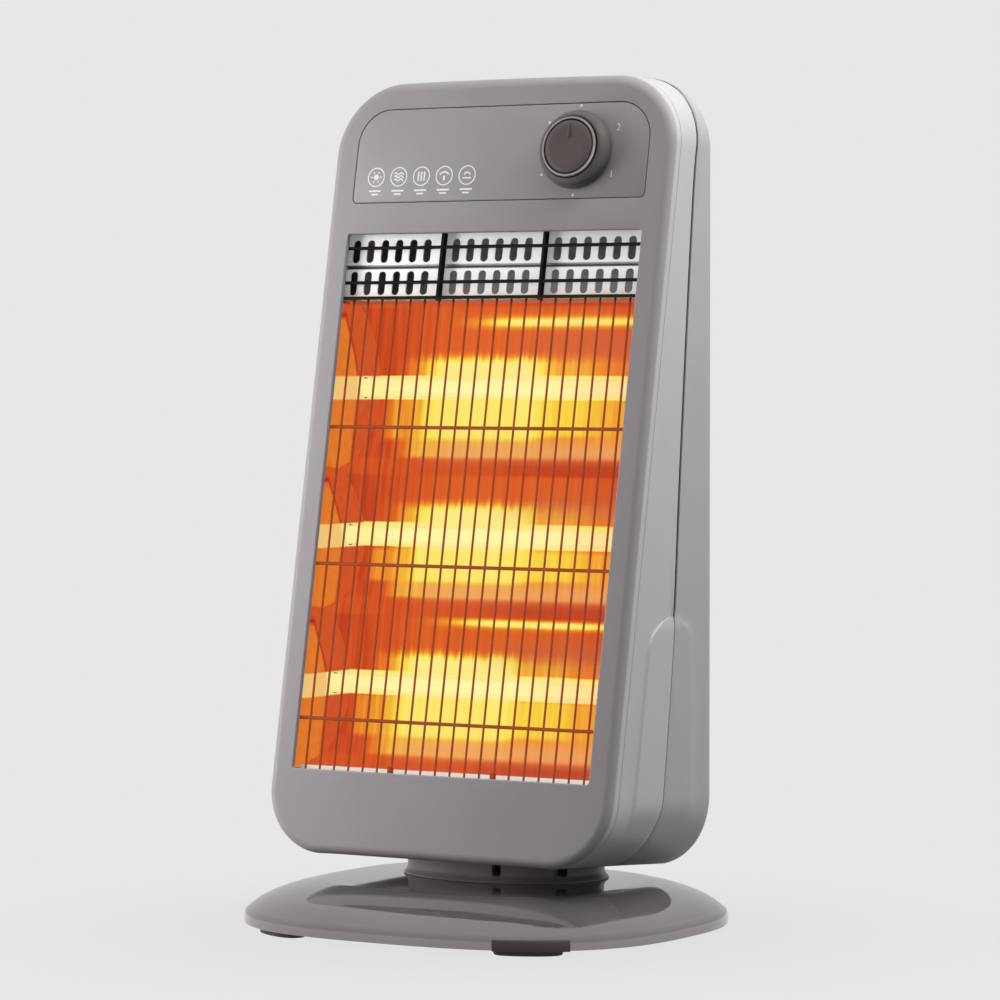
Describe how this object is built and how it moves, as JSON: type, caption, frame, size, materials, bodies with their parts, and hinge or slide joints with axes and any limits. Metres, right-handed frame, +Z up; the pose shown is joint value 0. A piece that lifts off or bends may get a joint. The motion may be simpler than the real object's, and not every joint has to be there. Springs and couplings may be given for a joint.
{
  "type": "halogen heater",
  "caption": "Upright swinging halogen heater: wedge-shaped head with lamps in a troughed reflector behind a wire guard, top dial, wide domed base.",
  "frame": {"origin": "on the floor under the middle of the base", "axes": "+Z up, front of the heater towards -Y, +X to the right seen from the front"},
  "size_m": [0.2946, 0.2526, 0.5347],
  "materials": {
    "bezel_plastic": "warm grey moulded plastic with a fine satin surface",
    "shell_plastic": "silver grey painted plastic, satin",
    "control_panel": "warm grey satin plastic with printed white marks",
    "dark_plastic": "dark brown-grey plastic, satin",
    "cap_plastic": "brown-grey metallic plastic",
    "chrome": "bright chrome",
    "guard_wire": "nickel-plated welded steel wire",
    "bright_sheet": "bright pressed sheet",
    "reflector_sheet": "mirror-bright sheet",
    "quartz": "clear quartz tube",
    "filament": "coiled tungsten",
    "ceramic": "glazed white ceramic",
    "steel": "zinc-plated steel",
    "light_plastic": "natural nylon",
    "brass": "plain brass",
    "base_plastic": "grey plastic: satin rim, darker polished middle",
    "neck_plastic": "brown-grey plastic",
    "rubber": "matt black rubber"
  },
  "bodies": {
    "base": {"base_cover": "base_plastic", "base_plate": "steel", "foot_front_left": "rubber", "foot_front_right": "rubber", "foot_rear_left": "rubber", "foot_rear_right": "rubber", "tip_switch": "light_plastic", "tip_spring": "steel", "neck_collar": "neck_plastic", "swivel_spindle": "steel", "bearing_ring": "light_plastic", "spindle_clip": "steel", "crank_yoke": "light_plastic"},
    "head": {"control_panel": "control_panel", "end_cheek_left": "reflector_sheet", "end_cheek_right": "reflector_sheet", "filament_1": "filament", "filament_2": "filament", "filament_3": "filament", "front_bezel": "bezel_plastic", "front_shell": "shell_plastic", "heat_shield": "steel", "lamp_holder_1_left": "ceramic", "lamp_holder_1_right": "ceramic", "lamp_holder_2_left": "ceramic", "lamp_holder_2_right": "ceramic", "lamp_holder_3_left": "ceramic", "lamp_holder_3_right": "ceramic", "lamp_tube_1": "quartz", "lamp_tube_2": "quartz", "lamp_tube_3": "quartz", "lead_gland": "rubber", "rear_shell": "shell_plastic", "reflector": "reflector_sheet", "rotary_switch": "light_plastic", "swivel_motor": "steel", "terminal_block": "light_plastic", "thermal_cutout": "dark_plastic", "turntable": "steel", "vent_plate": "bright_sheet", "wire_guard": "guard_wire"},
    "knob": {"knob_body": "dark_plastic", "knob_ring": "chrome", "knob_cap": "cap_plastic", "switch_shaft": "brass"},
    "crank": {"crank": "brass"},
    "plunger": {"tip_plunger": "dark_plastic"}
  },
  "joints": [
    {"name": "oscillation", "type": "hinge", "parent": "base", "child": "head", "pos_m": [0, 0.024, 0.05], "axis": [0, 0, 1], "range_deg": [-30, 30]},
    {"name": "knob_turn", "type": "hinge", "parent": "head", "child": "knob", "pos_m": [0.0565, 0.01658, 0.48753], "axis": [0, 0.9822, -0.1879], "range_deg": [0, 300]},
    {"name": "crank_spin", "type": "hinge", "parent": "head", "child": "crank", "pos_m": [0.03, 0.024, 0.05], "axis": [0, 0, 1], "range_deg": [-101, 101]},
    {"name": "tip_over", "type": "slide", "parent": "base", "child": "plunger", "axis": [0, 0, -1], "range_m": [0, 0.005], "stiffness_N_per_m": 100, "springref_m": 0.005, "deforming": ["tip_spring"]}
  ],
  "couplings": [
    {"joint": "crank_spin", "follows": "oscillation", "ratio": -3.35}
  ]
}
